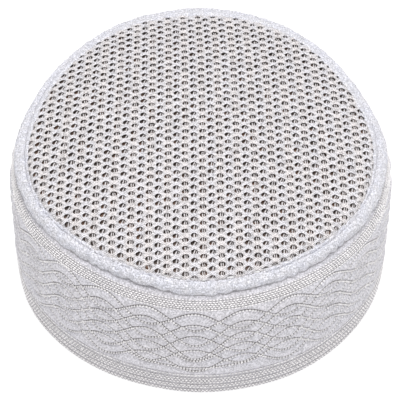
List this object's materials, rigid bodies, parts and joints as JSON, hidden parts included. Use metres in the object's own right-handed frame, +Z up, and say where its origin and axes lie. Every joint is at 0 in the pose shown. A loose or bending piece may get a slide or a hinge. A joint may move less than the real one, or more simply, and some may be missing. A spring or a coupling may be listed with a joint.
{
  "type": "kufi",
  "caption": "Round white kufi with a domed open-mesh top, a padded cotton edge roll and a stiff quilted satin side, hollow and open at the hem.",
  "frame": {"origin": "middle of the footprint of the cap's bounding box, on the plane its hem rests on", "axes": "+Z up through the middle of the top; -Y is the front of the cap, where the picture looks from; +X is to the right seen from the front"},
  "size_m": [0.1912, 0.1912, 0.089],
  "materials": {
    "mesh_cotton": "open warp-knit mesh of matt white cotton",
    "fuzzy_cotton": "fuzzy matt white cotton yarn",
    "white_satin": "quilted white satin with raised cream and silver-grey chain stitches"
  },
  "bodies": {
    "root": {"crown_mesh": "mesh_cotton", "edge_roll": "fuzzy_cotton", "side_band": "white_satin"}
  },
  "joints": []
}
